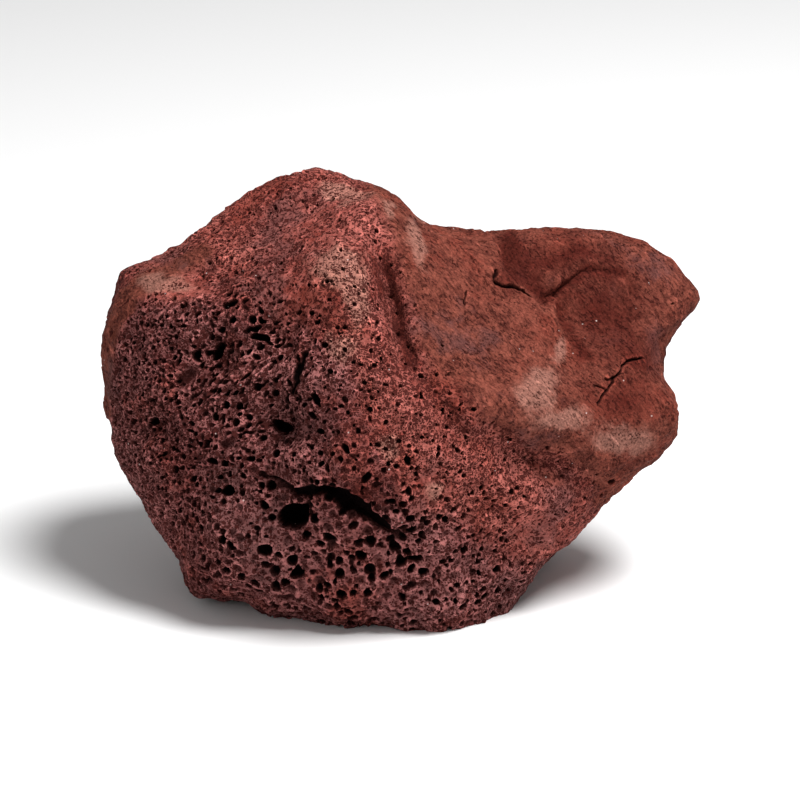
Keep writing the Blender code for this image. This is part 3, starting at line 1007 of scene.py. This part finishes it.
def mesh_from(name, points, faces):
    """A mesh from arrays: points in metres, faces all with the same number of corners."""
    mesh = bpy.data.meshes.new(name)
    mesh.vertices.add(len(points))
    mesh.vertices.foreach_set("co", points.astype(np.float32).ravel())
    mesh.loops.add(faces.size)
    mesh.loops.foreach_set("vertex_index", faces.astype(np.int32).ravel())
    mesh.polygons.add(len(faces))
    starts = np.arange(0, faces.size, faces.shape[1], dtype=np.int32)
    mesh.polygons.foreach_set("loop_start", starts)
    mesh.update(calc_edges=True)
    mesh.validate()
    return mesh


def fetch(items, name, width=1, kind=np.float32):
    """One value, or a row of them, for each item of a mesh."""
    values = np.empty(len(items) * width, dtype=kind)
    items.foreach_get(name, values)
    return values.reshape(-1, width) if width > 1 else values


def keep(mesh, name, values):
    """Keep one value for each point of a mesh as an attribute."""
    layer = mesh.attributes.new(name, "FLOAT", "POINT")
    layer.data.foreach_set("value", values.astype(np.float32))


first, welded = weld_numbers()
fine_mesh = mesh_from("lava_rock_fine", (carved[first] + MIDDLE) * MM, grid_quads(welded))
say(f"fine mesh of {len(fine_mesh.polygons)} squares")

# %% [markdown]
# ## What the finish needs to know
#
# The finish follows the shape: hollows, cracks and folds get painted shade, and the dense skin is
# rusted and dusty. These facts are kept with the points as attributes, so that the material can read
# them anywhere, and so that they stay with the model when it is thinned and exported.

# %% Facts kept with the points
# Depth in mm of a hollow, crack or gap that gets the full painted shade.
SHADE_FULL_DEPTH = 3
# Painted shade in folds: brick red for each mm of a fold's depth.
FOLD_PAINTED_SHADE = 0.45
PALE_PATCHES = (
    (40, 73, 7, 5), (45.5, 83, 2.6, 4), (-18, 108, 11, 7), (-17, 83, 6, 4.5), (-2.5, 124, 2.2, 4),
    (-3, 55, 4, 3.5), (8, 42, 3.5, 4.5), (46, 63, 8, 4), (-12, 97, 4, 7), (6, 116, 3, 8),
    (66, 58, 10, 4.5), (-72, 104, 9, 3), (-16, 130, 9, 4),
)
# Brick-red rust patches; the one at (-14, 41), just under the ledge, is painted shadow of its brow.
RED_PATCHES = (
    (61, 94.5, 11.5, 12), (44, 112, 12, 4.5), (33, 104, 6, 5), (64, 68, 10, 5),
    (-14, 41, 12, 3.5), (72, 82, 7, 6),
)
# Painted shade along the groove and the band under the lip.
GROOVE_PAINTED_SHADE = 0.20
WANDER = 2.5
WANDER_NOISE = (9, 3, (31, 37))
BACK_PALE_NOISE, BACK_PALE_EDGE = (24, 61), (0.35, 0.9)
BACK_RED_NOISE, BACK_RED_EDGE = (30, 67), (0.2, 0.8)

front = smooth_step(*BACK_TO_FRONT, facing)
wandered = ground_place + WANDER * noises(flat_points, *WANDER_NOISE)
back_pale = smooth_step(*BACK_PALE_EDGE, soft_noise(flat_points, *BACK_PALE_NOISE))
pale = front * sum_of_patches(wandered, PALE_PATCHES)
pale += (1 - front) * (1 - foam) * back_pale
rust_and_shade = front * sum_of_patches(wandered, RED_PATCHES)
# Painted shade along the groove and under the lip.
rust_and_shade += GROOVE_PAINTED_SHADE * front * along_run(wandered, GROOVE, GROOVE_HALF_WIDTH)
# Painted shade in the folds and the groove's bed, deeper folds darker.
rust_and_shade += FOLD_PAINTED_SHADE * front * np.clip(-relief(wandered, (), FOLDS), 0, None)
rust_and_shade += (1 - front) * smooth_step(*BACK_RED_EDGE, soft_noise(flat_points, *BACK_RED_NOISE))
# The hollow fact: depth carved below the ground, by which the finish paints shade into holes, cracks
# and the gap under the ledge.
hollow = depth.reshape(-1) / SHADE_FULL_DEPTH

for name, values in (("foam", foam), ("shade", shade), ("pins", pins), ("drawn", drawn)):
    keep(fine_mesh, name, values[first])
for name, values in (("hollow", hollow), ("pale", pale), ("rust_and_shade", rust_and_shade)):
    keep(fine_mesh, name, np.clip(values[first], 0, 1))
home = fine_mesh.attributes.new("home", "FLOAT_VECTOR", "POINT")
home.data.foreach_set("vector", flat_grid[first].astype(np.float32).ravel())

# %% Thinning
rock = bpy.data.objects.new("lava_rock_stone", fine_mesh)
bpy.context.scene.collection.objects.link(rock)
thin = rock.modifiers.new("thin", "DECIMATE")
thin.ratio = TRIANGLES / (2 * len(fine_mesh.polygons))
thinned = bpy.data.meshes.new_from_object(rock.evaluated_get(bpy.context.evaluated_depsgraph_get()))
rock.modifiers.clear()
rock.data = thinned
bpy.data.meshes.remove(fine_mesh)
thinned.name = "lava_rock_stone"
say(f"{len(thinned.polygons)} faces, {len(thinned.vertices)} points")


# %% Rims
def sharpness(mesh):
    """Mean over neighbours of (point - neighbour) . normal / distance: rims +, hollows -."""
    count = len(mesh.vertices)
    spots = fetch(mesh.vertices, "co", 3)
    outward = fetch(mesh.vertex_normals, "vector", 3)
    ends = fetch(mesh.edges, "vertices", 2, np.int32)
    ends = np.concatenate((ends, ends[:, ::-1]))
    gap = spots[ends[:, 0]] - spots[ends[:, 1]]
    rise = (gap * outward[ends[:, 0]]).sum(-1) / np.maximum(np.linalg.norm(gap, axis=-1), 1e-9)
    total = np.bincount(ends[:, 0], weights=rise, minlength=count)
    return total / np.maximum(np.bincount(ends[:, 0], minlength=count), 1)


# The finish paints a highlight on the sharpest edges by this fact.
keep(thinned, "rim", sharpness(thinned))

# %% [markdown]
# ## A flat map of the stone
#
# A texture painter needs every triangle laid out flat once, without overlaps. The six grids
# already are six flat squares, so each triangle goes to the grid that it faces, into one of six
# tiles with a little room round each.

# %% The map
TILE_SIZE = (1 / 3, 1 / 2)
TILE_MARGIN = 0.035


def lay_flat(mesh):
    """Each corner at (atan(right / out), atan(up / out)) in the tile of its triangle's side."""
    corners = fetch(mesh.loops, "vertex_index", kind=np.int32)
    counts = fetch(mesh.polygons, "loop_total", kind=np.int32)
    owner = np.repeat(np.arange(len(counts)), counts)
    direction = fetch(mesh.attributes["home"].data, "vector", 3)[corners]
    middle = np.stack([np.bincount(owner, direction[:, i]) for i in range(3)], axis=-1)
    side = (middle @ SIDES[:, 0].T).argmax(axis=1)[owner]
    ahead, right, above = ((direction * SIDES[side, i]).sum(-1) for i in range(3))
    across = np.arctan2(right, ahead) / (2 * QUARTER) + 0.5
    up = np.arctan2(above, ahead) / (2 * QUARTER) + 0.5
    inner = 1 - 2 * TILE_MARGIN
    u = (side % 3 + TILE_MARGIN + inner * up) * TILE_SIZE[0]
    v = (side // 3 + TILE_MARGIN + inner * across) * TILE_SIZE[1]
    layer = mesh.uv_layers.new(name="OFBake")
    layer.data.foreach_set("uv", np.stack((u, v), axis=-1).astype(np.float32).ravel())


lay_flat(thinned)
thinned.attributes.remove(thinned.attributes["home"])

# %% [markdown]
# ## The finish
#
# Red scoria is iron-rich glass rusted by its own heat. The foam is dark red, and purple-grey where
# it lies low on the left, a colour that is partly its own and partly painted shade. The dense skin is
# brick and orange, with pale dusty patches. The material mixes those colours by the facts kept above,
# paints shade into hollows, cracks, folds, the groove and under the ledge, paints a highlight on
# sharp edges, and adds what is too small for the mesh: fine pits with painted shade in them, grain
# and a few bright specks of crystal. Everything is worked out from the place in the stone, so no
# picture has to be painted or stored.

# %% Node helpers
def socket(tree, name, kind, way, value=None):
    """One input or output of a node group."""
    item = tree.interface.new_socket(name=name, in_out=way, socket_type=f"NodeSocket{kind}")
    if value is not None:
        item.default_value = value


class Board:
    """A node tree with short words for placing and joining nodes."""

    def __init__(self, tree):
        self.tree = tree

    def give(self, entry, value):
        """Join a node's input to another node, or set its value."""
        if isinstance(value, bpy.types.NodeSocket):
            self.tree.links.new(value, entry)
        else:
            entry.default_value = value

    def put(self, kind, inputs=None, **settings):
        node = self.tree.nodes.new(kind)
        for name, value in settings.items():
            setattr(node, name, value)
        for name, value in (inputs or {}).items():
            self.give(node.inputs[name], value)
        return node

    def fact(self, name):
        """One of the facts kept with the points."""
        return self.put("ShaderNodeAttribute", attribute_name=name).outputs["Fac"]

    def math(self, operation, first, second=0.5, third=0.5):
        values = {0: first, 1: second, 2: third}
        return self.put("ShaderNodeMath", values, operation=operation).outputs[0]

    def times(self, first, second):
        return self.math("MULTIPLY", first, second)

    def plus(self, first, second):
        return self.math("ADD", first, second)

    def vector(self, operation, inputs):
        return self.put("ShaderNodeVectorMath", inputs, operation=operation).outputs[0]

    def span(self, value, low, high, start=0, end=1):
        """From start to end, smoothly, while the value goes from low to high."""
        return self.put("ShaderNodeMapRange", {
            "Value": value, "From Min": low, "From Max": high, "To Min": start, "To Max": end,
        }, interpolation_type="SMOOTHSTEP").outputs["Result"]

    def mix(self, share, first, second):
        """first * (1 - share) + second * share, for two colours."""
        node = self.put("ShaderNodeMix", data_type="RGBA")
        for index, value in ((0, share), (6, first), (7, second)):
            self.give(node.inputs[index], value)
        return node.outputs[2]

    def stretched(self, place, way, stretch):
        """The place measured in a frame whose first axis is the way, drawn out along it."""
        frame = Matrix(np.stack((way, np.cross(OUT_WAY, way), OUT_WAY), axis=-1).tolist())
        return self.put("ShaderNodeMapping", {
            "Vector": place, "Rotation": frame.to_euler(), "Scale": (stretch, 1, 1),
        }, vector_type="TEXTURE").outputs[0]

    def noise(self, place, per_metre, detail, roughness):
        return self.put("ShaderNodeTexNoise", {
            "Vector": place, "Scale": per_metre, "Detail": detail, "Roughness": roughness,
        }).outputs["Fac"]

    def cells(self, place, per_metre, feature="F1"):
        """Voronoi cells: each has a colour of its own and a distance from its middle or edge."""
        inputs = {"Vector": place, "Scale": per_metre}
        return self.put("ShaderNodeTexVoronoi", inputs, feature=feature).outputs

    def chances(self, cells):
        """Two random numbers from 0 to 1 for each cell, taken from its colour."""
        parts = self.put("ShaderNodeSeparateColor", {"Color": cells["Color"]}).outputs
        return parts["Red"], parts["Green"]


# %% [markdown]
# ## Fine pits: a node group
#
# Three layers of pits use the same nodes with other numbers, so those nodes are packed in a group.
# Voronoi cells crowd each other as bubbles do. A cell is open where it is farther from its edge
# than a wall, walls differ from cell to cell, and only a share of the cells is open at all.

# %% The group
WALL_VARIES = (0, 1, 0.6, 1.8)
PIT_RIM = (0.7, 1.3)


def pit_group():
    """1 inside an open cell and 0 on its wall: (distance to edge / wall) stepped round 1."""
    tree = bpy.data.node_groups.new("pits", "ShaderNodeTree")
    socket(tree, "Place", "Vector", "INPUT")
    socket(tree, "Per Metre", "Float", "INPUT", 900)
    socket(tree, "Share", "Float", "INPUT", 0.5)
    socket(tree, "Wall", "Float", "INPUT", 0.1)
    socket(tree, "Mask", "Float", "OUTPUT")
    board = Board(tree)
    given = board.put("NodeGroupInput").outputs
    chance, other_chance = board.chances(board.cells(given["Place"], given["Per Metre"]))
    edge = board.cells(given["Place"], given["Per Metre"], "DISTANCE_TO_EDGE")["Distance"]
    wall = board.times(given["Wall"], board.span(other_chance, *WALL_VARIES))
    inside = board.span(board.math("DIVIDE", edge, wall), *PIT_RIM)
    there = board.math("LESS_THAN", chance, given["Share"])
    board.put("NodeGroupOutput", {"Mask": board.times(inside, there)})
    return tree


pits = pit_group()

# %% [markdown]
# ## Colours and patterns
#
# A colour is given by its strengths of red, green and blue light. A pattern is noise of one size:
# it says where the stone is a little lighter, redder or dirtier than its zone. Each rule says over
# which values of a pattern something sets in, and, where there are four numbers, from how little
# to how much.

# %% Colours
def colour(red_light, green_light, blue_light):
    return (red_light, green_light, blue_light, 1)


FOAM_DARK = colour(0.145, 0.028, 0.021)
FOAM_LIGHT = colour(0.355, 0.103, 0.083)
# Shade colours: the foam's purple-grey, made darker as painted shade on the lower left.
SHADE_DARK = colour(0.110, 0.032, 0.030)
SHADE_LIGHT = colour(0.275, 0.101, 0.094)
DENSE_DARK = colour(0.056, 0.012, 0.009)
DENSE_LIGHT = colour(0.240, 0.066, 0.044)
PALE_DUST = colour(0.300, 0.135, 0.103)
# Brick red: the colour of rust, used also as painted shade in folds, the groove and under the ledge.
RUST_AND_SHADE_RED = colour(0.064, 0.0095, 0.0065)
PURPLE_GREY = colour(0.105, 0.044, 0.042)
RED_BROWN = colour(0.180, 0.034, 0.022)
# Painted shade inside fine pits and slits too small for the mesh.
FINE_PIT_SHADE = colour(0.044, 0.0080, 0.0065)
# Painted shade in hollows: dark red on their sides, nearly black deep down.
SHALLOW_HOLLOW_SHADE = colour(0.024, 0.0050, 0.0042)
HOLLOW_SHADE_BLACK = colour(0.004, 0.0012, 0.0012)
CRYSTAL = colour(0.520, 0.400, 0.370)

# %% Patterns and rules
BEND_PER_METRE = 900
BEND_SIZE = 0.0008
STRAND_STRETCH = 1.9
STREAK_STRETCH = 5
SLIT_STRETCH = 2.6

# Each pattern: which place it reads, waves per metre, how many finer layers, how strong they are.
PATTERNS = {
    "large": ("plain", 45, 4, 0.55),
    "small": ("plain", 420, 5, 0.70),
    "grit": ("plain", 1700, 3, 0.75),
    "blotch": ("plain", 130, 6, 0.75),
    "cloud": ("plain", 38, 5, 0.65),
    "streak": ("streaked", 900, 4, 0.65),
    "slit": ("slit", 1500, 4, 0.70),
}
LARGE_SHARE = 0.4
FOAM_TONE = (0.36, 0.64)
DENSE_TONE = (
    ("streak", (0.36, 0.64, 0, 0.3)), ("blotch", (0.38, 0.62, 0, 0.4)),
    ("small", (0.38, 0.62, 0, 0.3)),
)
GREY_CLOUDS = (0.52, 0.66, 0, 0.6)
RED_CLOUDS = (0.48, 0.36, 0, 0.5)
# How much brick red rust and painted shade take at most.
RUST_AND_SHADE_SHARE = 0.85
DUST_RAGGED = 1.4
DUST = (0.95, 1.55, 0, 0.75)
# Sharp edges get a painted highlight, some grit is brighter speck, and dark grit is painted shade of
# tiny pits, less on dense skin.
EDGE_HIGHLIGHT = (0.08, 0.35)
BRIGHT_GRIT = (0.52, 0.64, 0, 0.4)
HIGHLIGHT_AND_SPECK_GAIN = 1.9
GRIT_PIT_SHADE = (0.47, 0.36, 0, 0.7)
LESS_PIT_SHADE_ON_DENSE = (0, 1, 0.5, 1)
# Over which depths the hollows get painted shade, dark red and then nearly black.
SHALLOW_SHADE_SPAN = (0.06, 0.40, 0, 0.8)
DEEP_SHADE_SPAN = (0.32, 0.85)
SLITS = (0.54, 0.62)
SLIT_PATCHES = (0.60, 0.42, 0.25, 1)
# How much painted shade an open fine pit or slit gets.
FINE_PIT_SHADE_SHARE = 0.92

# Each layer of pits: which place it reads, cells per metre, wall in cells, the fact it follows,
# and the share of cells that are open where that fact is 1.
PIT_LAYERS = (
    ("drawn", 620, 0.12, "drawn", 0.45),
    ("bent", 820, 0.11, "pins", 0.46),
    ("bent", 1350, 0.11, "pins", 0.75),
)
SPECKS_PER_METRE = 260
SPECK_CHANCE = 0.22
SPECK_SIZE = (0.08, 0.05)
SPECK_SHARE = 0.8
RELIEF = (("small", 0.8), ("grit", 0.25))
STREAK_RELIEF = 1.6
RELIEF_HEIGHT = 0.0006


# %% Building the colour, step by step
def read_places(board):
    """Where patterns are read: plain, bent by noise, and bent and drawn out three ways."""
    plain = board.put("ShaderNodeTexCoord").outputs["Object"]
    inputs = {"Vector": plain, "Scale": BEND_PER_METRE, "Detail": 1}
    bend = board.put("ShaderNodeTexNoise", inputs).outputs["Color"]
    bend = board.vector("SUBTRACT", {0: bend, 1: (0.5, 0.5, 0.5)})
    bend = board.vector("SCALE", {0: bend, 3: BEND_SIZE})
    bent = board.vector("ADD", {0: plain, 1: bend})
    return {
        "plain": plain, "bent": bent,
        "drawn": board.stretched(bent, STRAND_WAY, STRAND_STRETCH),
        "streaked": board.stretched(bent, STREAK_WAY, STREAK_STRETCH),
        "slit": board.stretched(bent, STREAK_WAY, SLIT_STRETCH),
    }


def zone_colour(board, noise):
    """Foam, shaded foam and dense skin, each from its dark to its light colour."""
    large = board.times(noise["large"], LARGE_SHARE)
    small = board.times(noise["small"], 1 - LARGE_SHARE)
    tone = board.span(board.plus(large, small), *FOAM_TONE)
    dense_tone = 0
    for name, rule in DENSE_TONE:
        dense_tone = board.plus(board.span(noise[name], *rule), dense_tone)
    dense_colour = board.mix(dense_tone, DENSE_DARK, DENSE_LIGHT)
    base = board.mix(board.fact("foam"), dense_colour, board.mix(tone, FOAM_DARK, FOAM_LIGHT))
    return board.mix(board.fact("shade"), base, board.mix(tone, SHADE_DARK, SHADE_LIGHT))


def weather(board, noise, base):
    """Clouds of grey and of red; brick red for rust and for painted shade in folds, the groove and
    under the ledge; dust where the pale fact is.
    """
    base = board.mix(board.span(noise["cloud"], *GREY_CLOUDS), base, PURPLE_GREY)
    base = board.mix(board.span(noise["cloud"], *RED_CLOUDS), base, RED_BROWN)
    base = board.mix(board.times(board.fact("rust_and_shade"), RUST_AND_SHADE_SHARE), base, RUST_AND_SHADE_RED)
    dusty = board.math("MULTIPLY_ADD", noise["blotch"], DUST_RAGGED, board.fact("pale"))
    return board.mix(board.span(dusty, *DUST), base, PALE_DUST)


def highlights_specks_and_pit_shade(board, noise, base):
    """Sharp edges get a painted highlight and some grit is a brighter speck; other grit is painted
    shade of tiny pits, most of all on foam.
    """
    brighter = board.vector("SCALE", {0: base, 3: HIGHLIGHT_AND_SPECK_GAIN})
    # Painted highlight on sharp edges, and bright specks of grit.
    lit = board.span(board.fact("rim"), *EDGE_HIGHLIGHT)
    lit = board.plus(lit, board.span(noise["grit"], *BRIGHT_GRIT))
    base = board.mix(board.math("MINIMUM", lit, 1), base, brighter)
    on_foam = board.span(board.fact("foam"), *LESS_PIT_SHADE_ON_DENSE)
    # Painted shade of pits too small for the mesh, as near-black specks.
    pit_shade_specks = board.times(board.span(noise["grit"], *GRIT_PIT_SHADE), on_foam)
    return board.mix(pit_shade_specks, base, HOLLOW_SHADE_BLACK)


def pit_mask(board, noise, places, dense):
    """Slits on the dense skin, and the layers of pits, where any of them is open."""
    patchy = board.span(noise["blotch"], *SLIT_PATCHES)
    slits = board.times(board.span(noise["slit"], *SLITS), patchy)
    mask = board.times(slits, dense)
    for where, per_metre, wall, follows, share in PIT_LAYERS:
        group = board.put("ShaderNodeGroup", {
            "Place": places[where], "Per Metre": per_metre, "Wall": wall,
            "Share": board.times(board.fact(follows), share),
        }, node_tree=pits)
        mask = board.math("MAXIMUM", mask, group.outputs["Mask"])
    return mask


def speck_mask(board, place):
    """A small round speck in the middle of some of the cells."""
    cells = board.cells(place, SPECKS_PER_METRE)
    there = board.math("LESS_THAN", board.chances(cells)[0], SPECK_CHANCE)
    return board.times(there, board.span(cells["Distance"], *SPECK_SIZE))


# %% The material
ROUGHNESS = 0.85
SHINE = 0.04
SHARP_ANGLE = 50


def scoria_material():
    material = bpy.data.materials.new("red_scoria")
    material.use_nodes = True
    tree = material.node_tree
    shader = tree.nodes["Principled BSDF"]
    board = Board(tree)
    places = read_places(board)
    noise = {name: board.noise(places[where], *rest) for name, (where, *rest) in PATTERNS.items()}
    dense = board.math("SUBTRACT", 1, board.fact("foam"))

    base = weather(board, noise, zone_colour(board, noise))
    base = highlights_specks_and_pit_shade(board, noise, base)
    open_here = pit_mask(board, noise, places, dense)
    # Painted shade inside the fine pits and slits.
    base = board.mix(board.times(open_here, FINE_PIT_SHADE_SHARE), base, FINE_PIT_SHADE)
    # Painted shade in the hollows, cracks and the gap under the ledge.
    base = board.mix(board.span(board.fact("hollow"), *SHALLOW_SHADE_SPAN), base, SHALLOW_HOLLOW_SHADE)
    base = board.mix(board.span(board.fact("hollow"), *DEEP_SHADE_SPAN), base, HOLLOW_SHADE_BLACK)
    specks = board.times(speck_mask(board, places["plain"]), SPECK_SHARE)
    tree.links.new(board.mix(specks, base, CRYSTAL), shader.inputs["Base Color"])

    rough = board.times(board.times(noise["streak"], dense), STREAK_RELIEF)
    for name, height in RELIEF:
        rough = board.math("MULTIPLY_ADD", noise[name], height, rough)
    height = board.math("SUBTRACT", rough, open_here)
    bump = board.put("ShaderNodeBump", {"Height": height, "Strength": 1, "Distance": RELIEF_HEIGHT})
    tree.links.new(bump.outputs["Normal"], shader.inputs["Normal"])
    shader.inputs["Roughness"].default_value = ROUGHNESS
    shader.inputs["Specular IOR Level"].default_value = SHINE
    return material


thinned.materials.clear()
thinned.materials.append(scoria_material())
thinned.shade_smooth()
thinned.set_sharp_from_angle(angle=math.radians(SHARP_ANGLE))
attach(rock, "root")
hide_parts("lava_rock")

# %% [markdown]
# ## Floor, light and camera
#
# A stone is shown best in broad soft light from above and one side, on pale paper.

# %% Floor
FLOOR_SIZE = 3
PAPER = (0.88, 0.88, 0.88, 1)
PAPER_ROUGHNESS = 0.9


def make_floor():
    mesh = bpy.data.meshes.new("floor")
    half = FLOOR_SIZE / 2
    corners = [(-half, -half, 0), (half, -half, 0), (half, half, 0), (-half, half, 0)]
    mesh.from_pydata(corners, [], [(0, 1, 2, 3)])
    floor = bpy.data.objects.new("floor", mesh)
    bpy.context.scene.collection.objects.link(floor)
    material = bpy.data.materials.new("pale_paper")
    material.use_nodes = True
    shader = material.node_tree.nodes["Principled BSDF"]
    shader.inputs["Base Color"].default_value = PAPER
    shader.inputs["Roughness"].default_value = PAPER_ROUGHNESS
    mesh.materials.append(material)


make_floor()

# %% Light
# Each lamp: name, place and width in metres, strength in watts.
LAMPS = (
    ("key", (0.40, -0.25, 1.10), 0.55, 22.5),
    ("fill", (-0.90, -0.80, 0.50), 0.80, 1.5),
)
LIGHT_AIM = (0, 0, 0.05)
SKY_STRENGTH = 0.30


def area_light(name, place_at, size, watts):
    light = bpy.data.lights.new(name, "AREA")
    light.shape = "DISK"
    light.size = size
    light.energy = watts
    lamp = bpy.data.objects.new(name, light)
    lamp.location = place_at
    way = Vector(LIGHT_AIM) - Vector(place_at)
    lamp.rotation_euler = way.to_track_quat("-Z", "Y").to_euler()
    bpy.context.scene.collection.objects.link(lamp)


for lamp in LAMPS:
    area_light(*lamp)
world = bpy.data.worlds.new("studio")
world.use_nodes = True
world.node_tree.nodes["Background"].inputs["Color"].default_value = (1, 1, 1, 1)
world.node_tree.nodes["Background"].inputs["Strength"].default_value = SKY_STRENGTH
bpy.context.scene.world = world
bpy.context.scene.view_settings.view_transform = "Standard"

# %% Camera
LENS = 200
SENSOR = 36
FIELD = 0.240
AIM_FROM_MIDDLE = (2, 1, 0)


def make_camera():
    data = bpy.data.cameras.new("camera")
    data.lens = LENS
    data.sensor_width = SENSOR
    camera = bpy.data.objects.new("camera", data)
    bpy.context.scene.collection.objects.link(camera)
    aim = Vector((MIDDLE + to_world(np.array(AIM_FROM_MIDDLE))) * MM)
    back = Vector(OUT_WAY)
    camera.location = aim + back * (FIELD * LENS / SENSOR)
    camera.rotation_euler = back.to_track_quat("Z", "Y").to_euler()
    bpy.context.scene.camera = camera


make_camera()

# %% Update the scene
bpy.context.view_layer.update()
say("done")
